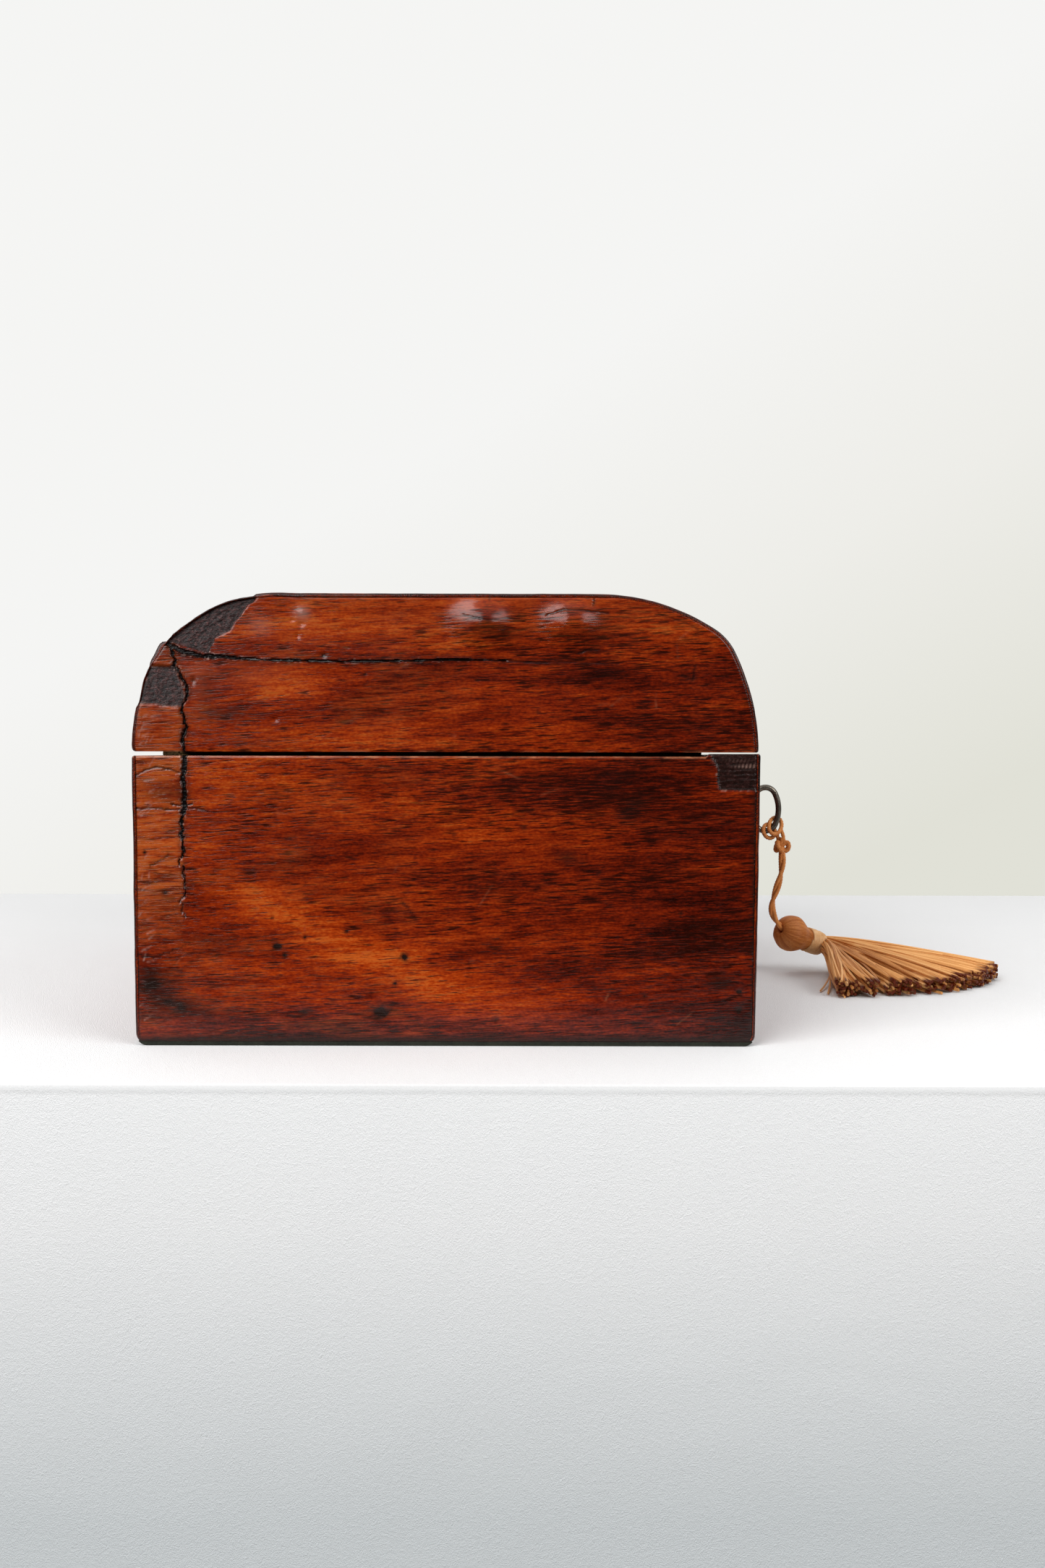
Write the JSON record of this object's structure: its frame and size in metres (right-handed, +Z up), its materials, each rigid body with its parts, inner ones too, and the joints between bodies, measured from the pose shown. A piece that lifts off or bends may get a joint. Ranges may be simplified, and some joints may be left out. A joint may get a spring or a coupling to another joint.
{
  "type": "tea caddy",
  "caption": "Dome-topped veneered wooden tea caddy with two lidded foil-lined compartments, a hinged lid, and a key with a tassel in its lock",
  "frame": {"origin": "middle of the flat base's lower face", "axes": "+Z up, +X along the box's length to its right end, -Y out of the front face that has the lock"},
  "size_m": [0.23, 0.2469, 0.1078],
  "materials": {
    "walnut_veneer": "glossy french-polished red-brown veneer, chipped and cracked",
    "carcass_wood": "sawn and planed softwood carcass",
    "lining_wood": "satin waxed mahogany",
    "knob_bone": "turned bone",
    "foil": "dull lead and tin foil",
    "paper": "aged lining paper",
    "baize": "worn dark green baize",
    "brass": "dulled brass",
    "steel": "dark oxidised steel",
    "tassel_silk": "golden tan twisted silk",
    "binding_silk": "lighter wound silk"
  },
  "bodies": {
    "caddy_body": {"back_board": "carcass_wood", "back_lining": "lining_wood", "back_veneer": "walnut_veneer", "base_baize": "baize", "bottom_board": "carcass_wood", "compartment_divider": "lining_wood", "escutcheon": "brass", "front_board": "carcass_wood", "front_lining": "lining_wood", "front_veneer": "walnut_veneer", "hinge_screws_body": "brass", "left_end_board": "carcass_wood", "left_end_veneer": "walnut_veneer", "left_foil_lining": "foil", "left_hinge_body_leaf": "brass", "left_hinge_pin": "brass", "left_lid_rests": "lining_wood", "left_lining": "lining_wood", "lock_case": "brass", "lock_pin": "steel", "lock_plate": "brass", "lock_screws": "brass", "lock_spring": "steel", "right_end_board": "carcass_wood", "right_end_veneer": "walnut_veneer", "right_foil_lining": "foil", "right_hinge_body_leaf": "brass", "right_hinge_pin": "brass", "right_lid_rests": "lining_wood", "right_lining": "lining_wood"},
    "lid": {"left_hinge_lid_leaf": "brass", "lid_back_rail": "carcass_wood", "lid_crown_board": "carcass_wood", "lid_front_rail": "carcass_wood", "lid_left_end_rail": "carcass_wood", "lid_left_end_veneer": "walnut_veneer", "lid_lining": "paper", "lid_right_end_rail": "carcass_wood", "lid_right_end_veneer": "walnut_veneer", "lid_top_veneer": "walnut_veneer", "right_hinge_lid_leaf": "brass", "hinge_screws_lid": "brass", "link_plate": "brass", "link_plate_screws": "brass"},
    "tassel": {"tassel_cord": "tassel_silk", "cord_knot": "tassel_silk", "tassel_head": "tassel_silk", "tassel_binding": "binding_silk", "tassel_skirt": "tassel_silk"},
    "key": {"key": "steel", "cord_hitch": "tassel_silk"},
    "bolt": {"lock_bolt": "steel"},
    "left_inner_lid": {"left_inner_lid": "lining_wood", "left_inner_lid_knob": "knob_bone"},
    "right_inner_lid": {"right_inner_lid": "lining_wood", "right_inner_lid_knob": "knob_bone"}
  },
  "joints": [
    {"name": "lid_hinge", "type": "hinge", "parent": "caddy_body", "child": "lid", "pos_m": [0, 0.0773, 0.0695], "axis": [-1, 0, 0], "range_deg": [0, 100]},
    {"name": "key_withdraw", "type": "slide", "parent": "caddy_body", "child": "tassel", "axis": [0, -1, 0], "range_m": [0, 0.04]},
    {"name": "key_turn", "type": "hinge", "parent": "tassel", "child": "key", "pos_m": [0, -0.09, 0.0523], "axis": [0, 1, 0], "range_deg": [0, 360]},
    {"name": "bolt_slide", "type": "slide", "parent": "caddy_body", "child": "bolt", "axis": [1, 0, 0], "range_m": [0, 0.005]},
    {"name": "left_inner_lid_lift", "type": "slide", "parent": "caddy_body", "child": "left_inner_lid", "axis": [0, 0, 1], "range_m": [0, 0.02]},
    {"name": "right_inner_lid_lift", "type": "slide", "parent": "caddy_body", "child": "right_inner_lid", "axis": [0, 0, 1], "range_m": [0, 0.02]}
  ],
  "couplings": [
    {"joint": "key_turn", "follows": "bolt_slide", "rad_per_m": 1256.6}
  ]
}
